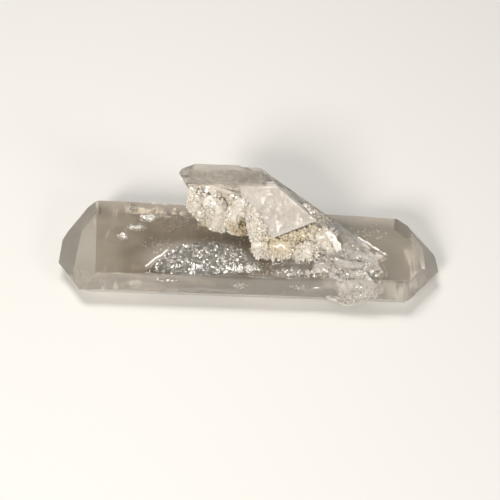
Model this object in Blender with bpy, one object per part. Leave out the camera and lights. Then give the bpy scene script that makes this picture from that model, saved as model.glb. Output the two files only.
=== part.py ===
"""A double-ended quartz point: a long flat crystal that lies on one of its prism faces, with a second crystal
leaning along its back. In front of the second one are a block and a crust of small crystals, and a chipped patch
runs from their foot over the near edge of the long crystal.

Everything grew together, so it is one solid. +X runs along the crystal to its right-hand tip, -Y is the near
side and +Z is up. The origin is on the face that the crystal rests on, below the middle of its length. Places
and lengths are in millimetres until the finished mesh is scaled to metres.
"""

import math
import random

import bmesh
import bpy
from mathutils import Matrix, Vector

MM = 0.001
SEED = 7

# Angles of a quartz crystal: its prism faces turn by 60 degrees, and its tip faces lean this far off the axis.
PRISM_TURN = 60.0
TIP_LEAN = 38.2

# The long crystal.
THICKNESS = 10.4
NEAR_EDGE = -14.1
FAR_EDGE = 15.3
FAR_EDGE_AT_RIGHT = 12.4
RIGHT_SHOULDER = 52.0
LEFT_SHOULDER = -47.0
LEFT_TIP_HEIGHT = 4.8

# The second crystal: the turn of its top face, and that face's near edge, width and ends.
SECOND_TURN = 102.0
SECOND_NEAR = Vector((0, 8.0, 27.7))
SECOND_WIDTH = 9.2
SECOND_WIDTH_AT_LEFT = 10.3
SECOND_SHOULDER = 4.0
SECOND_STEP_AT = -2.3
SECOND_BROKEN_END = -20.4
SECOND_TIP_TURN = 108.1
SECOND_TIP_LEAN = 31.2

# The block in front of the second crystal: how far its faces lie below it, its own tip face, which stands a
# little prouder, and where its broken side starts.
BLOCK_STEP = 0.5
BLOCK_SHELL = 1.5
BLOCK_DEPTH = 2.0
BLOCK_LEFT = -3.7
BLOCK_SHOULDER = 7.5
BLOCK_TIP_TURN = 112.0
BLOCK_TIP_LEAN = 36.8

# The crust of small crystals to the left of the block.
CRUST_TURN = 19.0
CRUST_TOP = Vector((-12.0, 7.9, 26.9))

EMBED = 2.0


def facing(turn):
    """The normal of a prism face: turn is its angle up from the near side, about the long axis."""
    angle = math.radians(turn)
    return Vector((0, -math.cos(angle), math.sin(angle)))


def tip_facing(end, turn, lean=TIP_LEAN):
    """The normal of the tip face next to a prism face, at the end that points along +X (1) or -X (-1)."""
    angle = math.radians(lean)
    return Vector((end * math.sin(angle), 0, 0)) + math.cos(angle) * facing(turn)


def bearing_facing(bearing, slope):
    """The normal of a face that falls away towards a plan bearing (from +X towards +Y), by slope degrees."""
    around, down = math.radians(bearing), math.radians(slope)
    return Vector((math.cos(around) * math.sin(down), math.sin(around) * math.sin(down), math.cos(down)))


def solid_behind(faces, reach=160.0):
    """A block cut down to the space behind every face, each given as a normal and a point on it."""
    body = bmesh.new()
    bmesh.ops.create_cube(body, size=reach)
    for normal, point in faces:
        parts = body.verts[:] + body.edges[:] + body.faces[:]
        cut = bmesh.ops.bisect_plane(
            body, geom=parts, plane_co=point, plane_no=normal, clear_outer=True, dist=1e-5
        )
        rim = [part for part in cut["geom_cut"] if isinstance(part, bmesh.types.BMEdge)]
        if len(rim) > 2:
            bmesh.ops.contextual_create(body, geom=rim)
    bmesh.ops.recalc_face_normals(body, faces=body.faces)
    return body


def hull_of(points):
    """The convex body around a few points."""
    body = bmesh.new()
    for point in points:
        body.verts.new(point)
    found = bmesh.ops.convex_hull(body, input=body.verts)
    inside = [part for part in found["geom_interior"] if isinstance(part, bmesh.types.BMVert)]
    bmesh.ops.delete(body, geom=inside, context="VERTS")
    bmesh.ops.recalc_face_normals(body, faces=body.faces)
    return body


def long_crystal():
    """The long flat crystal: six prism faces, a plain point to the right and a blunter one to the left."""
    top_near, top_far = (0, NEAR_EDGE, THICKNESS), (-20, FAR_EDGE, THICKNESS)
    far_right = (23, FAR_EDGE_AT_RIGHT, THICKNESS)
    low_near, low_far, low_far_right = ((x, y, 0) for x, y, z in (top_near, top_far, far_right))
    taper = Matrix.Rotation(math.radians(-2.6), 3, "Z")
    prism = [
        (Vector((-0.006, 0, 1)), top_near),
        (facing(270), (0, 0, 0)),
        (facing(30), top_near),
        (facing(330), low_near),
        (facing(150), top_far),
        (facing(210), low_far),
        (taper @ facing(150), far_right),
        (taper @ facing(210), low_far_right),
    ]
    near_tip, far_tip = (59.5, -4.9, THICKNESS / 2), (48.5, 9.4, THICKNESS)
    right_tip = [
        (bearing_facing(8, TIP_LEAN), (RIGHT_SHOULDER, -2, THICKNESS)),
        (tip_facing(1, 270), (RIGHT_SHOULDER, 0, 0)),
        (bearing_facing(28, 52), (57.1, 3.2, THICKNESS / 2)),
        (bearing_facing(28, 128), (57.1, 3.2, THICKNESS / 2)),
        (bearing_facing(-41.5, 66.9), near_tip),
        (bearing_facing(-41.5, 113.1), near_tip),
        (tip_facing(1, 150), far_tip),
        (tip_facing(1, 210), (48.5, 9.4, 0)),
    ]
    near_left, far_left = (-59.6, -7.3, LEFT_TIP_HEIGHT), (-56.5, 9.5, 7.0)
    left_tip = [
        (bearing_facing(188, 22), (LEFT_SHOULDER, 0, THICKNESS)),
        (bearing_facing(221, 43), near_left),
        (bearing_facing(219, 125), near_left),
        (bearing_facing(138.4, 60), (-51.2, 14.9, THICKNESS)),
        (bearing_facing(153.7, 65), far_left),
        (bearing_facing(150, 118), (-56.5, 9.5, 5.5)),
        (tip_facing(-1, 270), (-53.9, 0, 0)),
    ]
    return solid_behind(prism + right_tip + left_tip)


def blade(width, shoulder):
    """The second crystal's top face at one width, its leaning back and one large tip face across them."""
    far = SECOND_NEAR - width * facing(SECOND_TURN - 90)
    end = SECOND_NEAR + Vector((shoulder, 0, 0))
    return [
        (facing(SECOND_TURN), SECOND_NEAR),
        (facing(SECOND_TURN + 2 * PRISM_TURN), far),
        (tip_facing(1, SECOND_TIP_TURN, SECOND_TIP_LEAN), end),
    ]


def broken_side(inwards):
    """The two faces of the block's broken left side, moved a little towards its middle."""
    side = Vector((BLOCK_LEFT + inwards, 8.1, 27.8))
    return [
        (Vector((-0.95, -0.1, -0.167)), side),
        (Vector((-0.85, -0.1, -0.409)), side + Vector((3.0, -10.0, -11.1))),
    ]


def tip_half():
    """The right half of the second crystal, down to the long one."""
    near = SECOND_NEAR - 1.1 * BLOCK_SHELL * facing(SECOND_TURN - PRISM_TURN)
    return solid_behind(blade(SECOND_WIDTH, SECOND_SHOULDER) + [
        (facing(SECOND_TURN - PRISM_TURN), near),
        (facing(270), (0, 0, THICKNESS - EMBED)),
    ] + broken_side(0.6))


def broken_half(width, shoulder):
    """The left half of the second crystal, which overhangs the crust and ends broken."""
    broken = SECOND_NEAR + Vector((SECOND_BROKEN_END, 0, 0))
    return solid_behind(blade(width, shoulder) + [
        (facing(SECOND_TURN - 2 * PRISM_TURN), SECOND_NEAR),
        (Vector((-0.86, -0.42, -0.3)), broken),
        (Vector((-0.75, 0.3, 0.6)), broken + Vector((-1.0, 5, 0))),
        (Vector((-0.6, 0.7, -0.4)), broken + Vector((0, 8, -2))),
    ])


def block(shell):
    """The block in front of the second crystal, with shell taken off its near face."""
    near = SECOND_NEAR - BLOCK_STEP * facing(SECOND_TURN)
    front = near - shell * facing(SECOND_TURN - PRISM_TURN)
    end = near + Vector((BLOCK_SHOULDER, 0, 0))
    return broken_side(0.0) + [
        (facing(SECOND_TURN), near),
        (facing(SECOND_TURN - PRISM_TURN / 2), near - 0.35 * facing(SECOND_TURN - PRISM_TURN / 2)),
        (facing(SECOND_TURN - PRISM_TURN), front),
        (facing(SECOND_TURN + 2 * PRISM_TURN), near - BLOCK_DEPTH * facing(SECOND_TURN - PRISM_TURN)),
        (facing(270), (0, 0, THICKNESS - EMBED)),
        (tip_facing(1, BLOCK_TIP_TURN, BLOCK_TIP_LEAN), end),
    ]


def front_block():
    """The upper shell of the block, which ends along a broken rim above its foot."""
    rim = [
        (Vector((0.33, -0.1, -0.93)), (8.0, -2.2, 15.6)),
        (Vector((0.8, -0.3, -0.52)), (20.4, 0.2, 19.0)),
    ]
    return solid_behind(block(0.0) + rim)


def crust_body():
    """The lump that carries the crust: it fills the space below the second crystal's left half."""
    return solid_behind([
        (facing(CRUST_TURN), CRUST_TOP),
        (facing(SECOND_TURN), SECOND_NEAR - 0.7 * facing(SECOND_TURN)),
        (facing(SECOND_TURN + 2 * PRISM_TURN), (0, 15.6, 25)),
        (Vector((-0.985, -0.03, -0.165)), (-19.6, 8.1, 27.8)),
        (Vector((0.25, -0.35, 0.9)), (-9.5, 7.8, 26.2)),
        (Vector((1, 0, 0)), (4.0, 0, 0)),
        (Vector((-0.3, -0.9, -0.3)), (-13.6, 2.6, 12.0)),
        (facing(270), (0, 0, THICKNESS - EMBED)),
    ])


def back_root():
    """The rough foot that the second crystal's back grows out of."""
    return solid_behind([
        (facing(196), (0, 10.6, THICKNESS)),
        (facing(120), (0, 8.0, THICKNESS + 6.6)),
        (Vector((-0.9, 0.3, 0.2)), (-16.2, 8, THICKNESS)),
        (Vector((0.75, 0.3, 0.6)), (22.0, 7, THICKNESS)),
        (facing(0), (0, 5.0, 0)),
        (facing(270), (0, 0, THICKNESS - EMBED)),
    ])


def small_crystal(base, direction, length, width, turn=0.0):
    """A six-sided crystal with a pointed tip, from base along direction."""
    along = Vector(direction).normalized()
    frame = along.to_track_quat("Z", "Y").to_matrix() @ Matrix.Rotation(turn, 3, "Z")
    shoulder = length - 0.55 * width
    points = []
    for corner in range(6):
        angle = corner * math.tau / 6
        round_axis = 0.5 * width * Vector((math.cos(angle), math.sin(angle) * 0.86, 0))
        points.append(Vector(base) + frame @ round_axis)
        points.append(Vector(base) + frame @ (round_axis + Vector((0, 0, shoulder))))
    points.append(Vector(base) + frame @ Vector((0.06 * width, 0, length)))
    return hull_of(points)


def lump(chance, centre, radii, corners=11):
    """A broken lump: the convex body round a few points spread over an ellipsoid."""
    points = []
    for corner in range(corners):
        height = 1 - 2 * (corner + 0.5) / corners
        around = corner * math.radians(137.5) + chance.uniform(-0.35, 0.35)
        level = math.sqrt(1 - height * height)
        reach = chance.uniform(0.86, 1.08)
        direction = Vector((level * math.cos(around), level * math.sin(around), height))
        points.append(Vector(centre) + Vector(d * r * reach for d, r in zip(direction, radii)))
    return hull_of(points)


def crystals_over(chance, corners, outward, count, lengths, widths, sink=1.2, spread=0.45):
    """Small crystals scattered over the four-sided patch between the corners, pointing roughly outward."""
    first, second, third, fourth = (Vector(corner) for corner in corners)
    grown = []
    for number in range(count):
        across = (number * 0.618 + chance.uniform(0, 0.08)) % 1.0
        down = (number + chance.uniform(0.1, 0.9)) / count
        place = first.lerp(second, across).lerp(fourth.lerp(third, across), down)
        tilt = Vector(chance.uniform(-spread, spread) for _ in range(3))
        direction = (Vector(outward).normalized() + tilt).normalized()
        length = chance.uniform(*lengths)
        width = chance.uniform(*widths)
        turn = chance.uniform(0, math.tau)
        grown.append(small_crystal(place - sink * direction, direction, length + sink, width, turn))
    return grown


def crust(chance):
    """The crust on the left lump: packed small crystals, coarser lumps and one larger crystal at its foot."""
    outward = facing(CRUST_TURN)
    upper = [(-18.4, 7.6, 25.0), (-3.0, 6.6, 23.0), (-3.4, 5.0, 17.6), (-16.9, 5.0, 17.6)]
    lower = [(-15.8, 5.4, 17.0), (-2.6, 4.6, 19.0), (-3.4, 2.0, 11.4), (-12.6, 3.4, 11.8)]
    pieces = [
        lump(chance, (-16.6, 6.2, 21.6), (3.0, 4.0, 5.2)),
        lump(chance, (-15.2, 5.2, 14.8), (2.6, 4.0, 4.8)),
        lump(chance, (-11.4, 5.0, 20.4), (3.8, 3.4, 4.4)),
        lump(chance, (-9.6, 3.6, 14.6), (4.2, 3.4, 4.2)),
        lump(chance, (-5.4, 3.4, 16.6), (3.4, 3.2, 4.6)),
        lump(chance, (-2.8, 4.0, 20.4), (2.6, 2.8, 3.6)),
        lump(chance, (-3.6, 1.6, 12.8), (2.8, 2.6, 2.6)),
        small_crystal((-7.2, 5.4, 17.4), (-0.62, -0.62, -0.48), 9.6, 4.3, 0.3),
    ]
    pieces += crystals_over(chance, upper, outward, 54, (2.0, 3.6), (2.0, 3.4))
    pieces += crystals_over(chance, lower, outward, 44, (2.2, 4.0), (2.0, 3.5))
    return pieces


def foot_crystals(chance):
    """The fringe of pointed crystals under the block, which lean out over the long crystal's top face."""
    fringe = [(3.4, -3.6, 14.4), (17.0, -3.6, 14.0), (16.4, -6.0, 11.4), (4.6, -6.0, 11.4)]
    shoulder = [(19.6, -0.6, 18.4), (25.4, -0.4, 16.4), (26.4, -5.4, 11.4), (17.6, -5.6, 12.6)]
    tip_side = [(13.5, 6.2, 23.4), (23.8, 4.0, 16.6), (26.2, 0.6, 13.4), (18.6, 2.2, 20.6)]
    pieces = [
        lump(chance, (10.2, -4.2, 12.6), (5.2, 3.0, 3.2)),
        lump(chance, (18.0, -5.0, 12.4), (3.0, 3.0, 2.9)),
        lump(chance, (23.0, -1.0, 14.0), (3.4, 3.6, 4.2)),
    ]
    pieces += crystals_over(chance, fringe, (-0.1, -0.85, -0.35), 26, (1.8, 3.0), (1.3, 2.2))
    pieces += crystals_over(chance, shoulder, (0.3, -0.7, 0.5), 22, (1.1, 2.2), (1.3, 2.4))
    pieces += crystals_over(chance, tip_side, (0.6, 0.1, 0.75), 14, (0.5, 1.2), (1.4, 2.4))
    return pieces


def back_crystals(chance):
    """Small crystals on the rough foot behind."""
    patch = [(-14.5, 9.2, 15.4), (19.5, 9.0, 15.0), (20.5, 10.2, 11.2), (-15.5, 10.4, 11.2)]
    pieces = crystals_over(chance, patch, (0, 0.8, 0.35), 24, (1.0, 2.2), (1.8, 3.4))
    pieces.append(lump(chance, (-9.0, 8.4, 13.2), (4.6, 3.0, 3.6)))
    pieces.append(lump(chance, (9.5, 8.0, 13.4), (5.4, 3.2, 3.8)))
    return pieces


def chipped_patch(chance):
    """The chipped patch: shelves that step down to the right, and rough lumps over the near edge."""
    top = THICKNESS
    shelves = [
        [(20, -4, 3.6), (25.5, 3.8, 4.0), (31, 1.6, 2.5), (34, -3.4, 1.7), (29, -7.4, 2.0), (22, -8, 2.8)],
        [(27, 2.8, 2.0), (34.5, 1.4, 1.5), (41.4, -4.0, 0.6), (37, -7.6, 0.9), (28, -7.2, 1.6)],
        [(24, -6.5, 2.3), (31, -5.2, 1.7), (39.6, -7.4, 0.9), (38.6, -12.6, 0.6), (27, -13.4, 1.1)],
        [(14.5, -7.6, 1.3), (22, -6, 1.9), (27, -9.6, 1.6), (23, -12.4, 0.7), (16, -10.6, 0.6)],
    ]
    pieces = []
    for shelf in shelves:
        middle = sum((Vector((x, y, 0)) for x, y, _ in shelf), Vector()) / len(shelf)
        rim = [Vector((x, y, top + height)) for x, y, height in shelf]
        foot = [middle + (Vector((x, y, 0)) - middle) * 1.07 + Vector((0, 0, top - EMBED)) for x, y, _ in shelf]
        pieces.append(hull_of(rim + foot))
    for x, y, z, size in (
        (18.2, -6.9, 11.2, 2.6), (24.5, 1.0, 13.2, 3.4), (29.0, -1.6, 11.6, 3.2), (26.5, -6.8, 11.4, 3.6),
        (32.0, -8.8, 10.2, 3.2), (36.6, -10.6, 9.6, 2.7), (29.6, -12.2, 9.2, 3.4), (34.2, -13.6, 8.0, 3.4),
        (37.4, -13.2, 8.0, 2.4), (27.2, -14.6, 6.4, 3.1), (31.6, -14.9, 5.6, 3.3), (35.6, -14.8, 5.4, 2.6),
        (24.6, -15.4, 4.2, 2.5), (28.6, -15.9, 3.6, 2.9), (32.8, -15.7, 3.5, 2.7), (26.4, 9.0, 10.2, 1.7),
    ):
        pieces.append(lump(chance, (x, y + 0.5, z), (size * 1.25, size, size * 0.78), 14))
    patch = [(23.5, -3.0, 13.4), (36.5, -5.0, 11.0), (36.0, -13.4, 10.2), (25.5, -12.0, 10.8)]
    pieces += crystals_over(chance, patch, (0.1, -0.4, 1), 30, (0.5, 1.3), (2.0, 3.6), 2.0, 0.7)
    return pieces


def shell_mark():
    """The low round plate on the block's near face."""
    normal = facing(SECOND_TURN - PRISM_TURN)
    centre = SECOND_NEAR + Vector((4.6, -5.2, -5.9))
    slope = Vector((0, normal.z, -normal.y))
    points = []
    for corner in range(14):
        angle = corner * math.tau / 14
        across = Vector((2.0 * math.cos(angle), 0, 0)) + 2.9 * math.sin(angle) * slope
        points.append(centre + 0.88 * across + 0.05 * normal)
        points.append(centre + across - 1.0 * normal)
    return hull_of(points)


def mesh_object(body, name):
    """A new object in the scene that holds the mesh."""
    mesh = bpy.data.meshes.new(name)
    body.to_mesh(mesh)
    body.free()
    made = bpy.data.objects.new(name, mesh)
    bpy.context.scene.collection.objects.link(made)
    return made


def united(first, others):
    """The mesh of the first object with each of the others joined to it, one after another."""
    for other in others:
        union = first.modifiers.new("grown_together", "BOOLEAN")
        union.operation = "UNION"
        union.solver = "MANIFOLD"
        union.object = other
    joined = bpy.data.meshes.new_from_object(first.evaluated_get(bpy.context.evaluated_depsgraph_get()))
    first.modifiers.clear()
    for other in others:
        bpy.data.objects.remove(other)
    return joined


def islands(body):
    """The separate surfaces of a mesh, each as a set of faces, largest first."""
    left = set(body.faces)
    found = []
    while left:
        queue = [left.pop()]
        island = set(queue)
        while queue:
            for edge in queue.pop().edges:
                for face in edge.link_faces:
                    if face in left:
                        left.remove(face)
                        island.add(face)
                        queue.append(face)
        found.append(island)
    return sorted(found, key=len, reverse=True)


def keep_outer_surface(mesh):
    """Fills the small closed pockets between crystals by leaving only the outer surface, and sets the scale."""
    body = bmesh.new()
    body.from_mesh(mesh)
    bmesh.ops.remove_doubles(body, verts=body.verts, dist=0.0005)
    for inner in islands(body)[1:]:
        bmesh.ops.delete(body, geom=list(inner), context="FACES")
    loose = [vert for vert in body.verts if not vert.link_faces]
    bmesh.ops.delete(body, geom=loose, context="VERTS")
    bmesh.ops.scale(body, vec=(MM, MM, MM), verts=body.verts)
    bmesh.ops.triangulate(body, faces=body.faces)
    body.to_mesh(mesh)
    body.free()


def clear_quartz():
    """The finish of clear, faintly smoky quartz."""
    material = bpy.data.materials.new("clear_quartz")
    material.use_nodes = True
    shader = material.node_tree.nodes["Principled BSDF"]
    shader.inputs["Base Color"].default_value = (0.62, 0.58, 0.52, 1)
    shader.inputs["Roughness"].default_value = 0.12
    shader.inputs["Metallic"].default_value = 0.0
    shader.inputs["IOR"].default_value = 1.544
    return material


def main():
    for old in list(bpy.data.objects):
        bpy.data.objects.remove(old)
    chance = random.Random(SEED)
    grown = [
        tip_half(),
        broken_half(SECOND_WIDTH - 0.1, SECOND_SHOULDER - 0.1),
        broken_half(SECOND_WIDTH_AT_LEFT, SECOND_STEP_AT),
        front_block(),
        solid_behind(block(BLOCK_SHELL)),
        crust_body(),
        back_root(),
        shell_mark(),
    ]
    grown += crust(chance) + foot_crystals(chance) + back_crystals(chance) + chipped_patch(chance)
    point = mesh_object(long_crystal(), "quartz_point")
    point.data = united(point, [mesh_object(body, "grown") for body in grown])
    keep_outer_surface(point.data)
    point.data.materials.clear()
    point.data.materials.append(clear_quartz())


main()
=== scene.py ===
"""Dresses the quartz point: clear crystals with grown relief, a crust of small milky crystals, a chipped
patch, and the veils and the mirror-bright break inside the clear quartz.

Every new surface is worked out with numpy. Lengths and places are in millimetres, in the model's own frame,
until mesh_piece scales them to metres: +X towards the right-hand tip, -Y the near side, +Z up.
"""

import itertools
import math

import bmesh
import bpy
import numpy as np
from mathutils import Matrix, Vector


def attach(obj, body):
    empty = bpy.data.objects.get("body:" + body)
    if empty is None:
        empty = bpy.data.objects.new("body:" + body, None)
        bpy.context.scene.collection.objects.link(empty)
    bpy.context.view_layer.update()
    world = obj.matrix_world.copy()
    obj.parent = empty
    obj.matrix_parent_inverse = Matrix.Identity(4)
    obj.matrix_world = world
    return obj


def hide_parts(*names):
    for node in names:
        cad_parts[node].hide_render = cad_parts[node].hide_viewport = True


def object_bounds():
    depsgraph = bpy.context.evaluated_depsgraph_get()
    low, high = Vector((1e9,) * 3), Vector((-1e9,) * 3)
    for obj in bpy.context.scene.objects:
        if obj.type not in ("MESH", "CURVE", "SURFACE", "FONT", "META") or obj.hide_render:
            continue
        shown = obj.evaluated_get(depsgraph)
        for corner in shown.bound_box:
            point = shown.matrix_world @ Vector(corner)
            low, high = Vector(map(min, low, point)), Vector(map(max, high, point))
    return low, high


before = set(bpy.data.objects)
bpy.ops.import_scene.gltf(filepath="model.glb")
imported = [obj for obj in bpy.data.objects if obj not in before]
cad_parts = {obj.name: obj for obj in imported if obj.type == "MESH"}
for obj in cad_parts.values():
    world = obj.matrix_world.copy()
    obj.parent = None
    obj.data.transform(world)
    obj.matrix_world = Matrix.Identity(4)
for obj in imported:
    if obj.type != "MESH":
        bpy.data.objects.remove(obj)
cad_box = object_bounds()

MM = 0.001
NODE = "quartz_point"

# Quartz: the degrees that its prism faces turn by, and that its tip faces lean off the axis, and its
# index of refraction.
PRISM_TURN = 60.0
TIP_LEAN = 38.2
QUARTZ_IOR = 1.544

# The long crystal, as the solid has it.
THICKNESS = 10.4
NEAR_EDGE = -14.1
FAR_EDGE = 15.3
FAR_EDGE_AT_RIGHT = 12.4
RIGHT_SHOULDER = 52.0
LEFT_SHOULDER = -47.0
LEFT_TIP_HEIGHT = 4.8

# The second crystal: the turn of its top face, and that face's near edge, width and ends.
SECOND_TURN = 102.0
SECOND_NEAR = np.array((0.0, 8.0, 27.7))
SECOND_WIDTH = 9.2
SECOND_WIDTH_AT_LEFT = 10.3
SECOND_SHOULDER = 4.0
SECOND_STEP_AT = -2.3
SECOND_BROKEN_END = -20.4
SECOND_TIP_TURN = 108.1
SECOND_TIP_LEAN = 31.2

# The block in front of the second crystal, and the face that the crust grows on.
BLOCK_STEP = 0.5
BLOCK_SHELL = 1.5
BLOCK_DEPTH = 2.0
BLOCK_LEFT = -3.7
BLOCK_SHOULDER = 7.5
BLOCK_TIP_TURN = 112.0
BLOCK_TIP_LEAN = 36.8
CRUST_TURN = 19.0
CRUST_TOP = np.array((-12.0, 7.9, 26.9))
EMBED = 2.0

# Mesh steps in millimetres: the clear crystals, the block and the crusts' masses, the shell and the patch.
CLEAR_STEP = 0.6
MASS_STEP = 0.5
SHELL_STEP = 0.36
PATCH_STEP = 0.26

# The turn in degrees past which an edge of the joined crystals is drawn sharp, and past which it gets the
# white of chips and a painted highlight.
JOINED_CREASE = 24.0
EDGE_CHIP_AND_HIGHLIGHT_TURN = 22.0

# The white of chipped edges and their painted highlight, the power that narrows it to them, and the depth of
# a bump in metres.
EDGE_CHIP_AND_HIGHLIGHT_WHITE = (0.98, 0.97, 0.95)
EDGE_POWER = 2.5
BUMP_DEPTH = 0.0002

# The camera: its bearing and height in degrees, its distance and aim in millimetres, and its lens.
VIEW_TURN = 2.5
VIEW_HEIGHT = 50.0
VIEW_DISTANCE = 260.0
VIEW_AIM = (0.0, 0.0, 6.0)
VIEW_LENS = 59.1


def unit(vectors):
    """Each vector divided by its length."""
    vectors = np.asarray(vectors, float)
    return vectors / np.linalg.norm(vectors, axis=-1, keepdims=True)


def facing(turn):
    """The normal of a prism face: turn is its angle up from the near side, about the long axis."""
    angle = math.radians(turn)
    return np.array((0.0, -math.cos(angle), math.sin(angle)))


def tip_facing(end, turn, lean=TIP_LEAN):
    """The normal of the tip face next to a prism face, at the end that points along +X (1) or -X (-1)."""
    angle = math.radians(lean)
    return np.array((end * math.sin(angle), 0.0, 0.0)) + math.cos(angle) * facing(turn)


def bearing_facing(bearing, slope):
    """The normal of a face that falls away towards a plan bearing (from +X towards +Y), by slope degrees."""
    around, down = math.radians(bearing), math.radians(slope)
    return np.array((math.cos(around) * math.sin(down), math.sin(around) * math.sin(down), math.cos(down)))


def smooth(value):
    """The smooth step 3t^2 - 2t^3 from 0 to 1, with t held between 0 and 1."""
    held = np.clip(value, 0.0, 1.0)
    return held * held * (3.0 - 2.0 * held)


def drift(points, size, seed):
    """Smooth noise from -1 to 1: random values on a cubic lattice, blended between its corners."""
    table = np.random.default_rng(seed).uniform(-1.0, 1.0, (24, 24, 24))
    place = np.asarray(points) / size
    cell = np.floor(place).astype(int)
    part = smooth(place - cell)
    total = np.zeros(place.shape[:-1])
    for corner in itertools.product((0, 1), repeat=3):
        index = (cell + np.array(corner)) % 24
        weight = np.prod(np.where(np.array(corner) == 1, part, 1.0 - part), axis=-1)
        total += weight * table[index[..., 0], index[..., 1], index[..., 2]]
    return total


def wander(points, size, seed):
    """Three drifts of one size as a vector, which bends a shape a little."""
    return np.stack([drift(points, size, seed + number) for number in range(3)], axis=-1)


def corners_of(normals, offsets):
    """The corners of the space behind all faces: where three planes meet and no other cuts the point off."""
    triples = np.array(list(itertools.combinations(range(len(normals)), 3)))
    matrices = normals[triples]
    crossing = np.abs(np.linalg.det(matrices)) > 1e-6
    points = np.linalg.solve(matrices[crossing], offsets[triples[crossing]][..., None])[..., 0]
    return points[(points @ normals.T <= offsets + 1e-6).all(axis=1)]


# Faces that are parallel in a crystal's outline are turned apart by this angle, to keep their order.
APART = 1e-4


def crystal_grid(faces, column_step, ring_step):
    """A crystal as a grid of rings along X, each the outline of the faces' half-planes at its x.

    Every face owns the same run of points on each ring, from where its line starts to where it ends; where a
    face is missing, its run gathers in the outline's farthest corner. A ring stands at each corner of the
    crystal, so the edges stay exact. Returns the points, how far each lies from the rim of its own face, and
    the normal of that face.
    """
    normals = unit([normal for normal, _ in faces])
    places = np.array([np.asarray(point, float) for _, point in faces])
    bearing = np.arctan2(normals[:, 2], normals[:, 1])
    turned = np.argsort(bearing, kind="stable")
    bearing = bearing[turned] + APART * np.arange(len(faces))
    size = np.linalg.norm(normals[turned, 1:], axis=1)
    lines = np.stack([np.cos(bearing), np.sin(bearing)], axis=1)
    normals = np.concatenate([normals[turned, :1], size[:, None] * lines], axis=1)
    offsets = (normals * places[turned]).sum(axis=1)
    corner_x = corners_of(normals, offsets)[:, 0]
    first, last = corner_x.min() + 1e-5, corner_x.max() - 1e-5
    columns = np.unique(np.clip(np.append(corner_x, np.arange(first, last, column_step)), first, last))
    columns = columns[np.concatenate([[True], np.diff(columns) > 1e-4])]
    reach = (offsets - normals[:, 0] * columns[:, None]) / size
    pairs = np.array(list(itertools.combinations(range(len(lines)), 2)))
    pairs = pairs[np.abs(np.linalg.det(lines[pairs])) > 1e-6]
    meets = np.linalg.solve(lines[pairs][None], reach[:, pairs][..., None])[..., 0]
    kept = (meets @ lines.T <= reach[:, None, :] + 1e-7).all(axis=-1)
    towards = np.where(kept[..., None], meets @ lines.T, -np.inf)
    best = towards.max(axis=1)
    on_line = towards >= best[:, None, :] - 1e-7
    run = np.stack([-lines[:, 1], lines[:, 0]], axis=1)
    along = meets @ run.T
    start = np.where(on_line, along, np.inf).min(axis=1)
    stop = np.where(on_line, along, -np.inf).max(axis=1)
    counts = np.maximum(2, np.ceil((stop - start).max(axis=0) / ring_step).astype(int))
    owner = np.repeat(np.arange(len(lines)), counts)
    part = np.concatenate([np.arange(count) / count for count in counts])
    place = start[:, owner] + (stop - start)[:, owner] * part
    flat = best[:, owner, None] * lines[owner] + place[..., None] * run[owner]
    x = np.broadcast_to(columns[:, None, None], flat.shape[:2] + (1,))
    points = np.concatenate([x, flat], axis=-1)
    slack = offsets - points @ normals.T
    slack[:, np.arange(len(owner)), owner] = np.inf
    return points, slack.min(axis=-1), normals[owner]


def grid_faces(rows, columns):
    """The four-sided faces of a grid whose last column joins its first."""
    index = np.arange(rows * columns).reshape(rows, columns)
    beside = np.roll(index, -1, axis=1)
    return np.stack([index[:-1], beside[:-1], beside[1:], index[1:]], axis=-1).reshape(-1, 4)


def sheet_faces(rows, columns):
    """The four-sided faces of an open grid."""
    index = np.arange(rows * columns).reshape(rows, columns)
    corners = [index[:-1, :-1], index[1:, :-1], index[1:, 1:], index[:-1, 1:]]
    return np.stack(corners, axis=-1).reshape(-1, 4)


def mesh_piece(name, points, faces, crease=30.0, weld=0.0):
    """A mesh object in metres at the origin, smooth but for edges sharper than crease degrees.

    No point goes past the solid's own box. With a weld distance in millimetres, points that meet are made
    one and the surface closes there.
    """
    low, high = (np.array(corner) / MM for corner in cad_box)
    points = np.clip(points, low + 0.01, high - 0.01)
    mesh = bpy.data.meshes.new(name)
    mesh.from_pydata((points * MM).tolist(), [], faces if isinstance(faces, list) else faces.tolist())
    if weld:
        shape = bmesh.new()
        shape.from_mesh(mesh)
        bmesh.ops.remove_doubles(shape, verts=shape.verts, dist=weld * MM)
        bmesh.ops.recalc_face_normals(shape, faces=shape.faces)
        shape.to_mesh(mesh)
        shape.free()
    piece = bpy.data.objects.new(name, mesh)
    bpy.context.scene.collection.objects.link(piece)
    mesh.shade_smooth()
    mesh.set_sharp_from_angle(angle=math.radians(crease))
    return piece


def grown_relief(points, depth, seed):
    """How deep the growth lines lie: ridges across the axis, at two spacings, bent and faded by drift."""
    bent = points[..., 0] + 2.2 * drift(points * (1, 0.35, 0.35), 6.0, seed)
    coarse = 0.5 + 0.5 * np.sin(bent * 1.9 + 1.6 * drift(points, 14.0, seed + 1))
    fine = 0.5 + 0.5 * np.sin(bent * 5.3 + 2.0 * drift(points, 5.0, seed + 2))
    strength = smooth(0.5 + 0.9 * drift(points, 11.0, seed + 3))
    return depth * strength * (0.65 * coarse ** 3 + 0.35 * fine)


def hollow(points, centre, radii, depth):
    """A shell-shaped hollow: a bowl over an ellipse, with even ripples about its middle."""
    offset = (points - np.asarray(centre, float)) / np.asarray(radii, float)
    reach = np.linalg.norm(offset, axis=-1)
    ripples = 1.0 + 0.12 * np.cos(17.0 * reach)
    return depth * smooth((1.0 - reach) * 1.6) * ripples


def crystal_piece(name, faces, column_step, ring_step, relief, seed):
    """One crystal: the exact grid, lowered by its relief away from the face rims, and bent a very little."""
    points, rim, normals = crystal_grid(faces, column_step, ring_step)
    lowered = relief(points) * smooth(rim / 0.9)
    points = points - lowered[..., None] * normals
    points = points + 0.05 * wander(points, 3.1, seed)
    return mesh_piece(name, points.reshape(-1, 3), grid_faces(*points.shape[:2]), weld=0.004)


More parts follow.
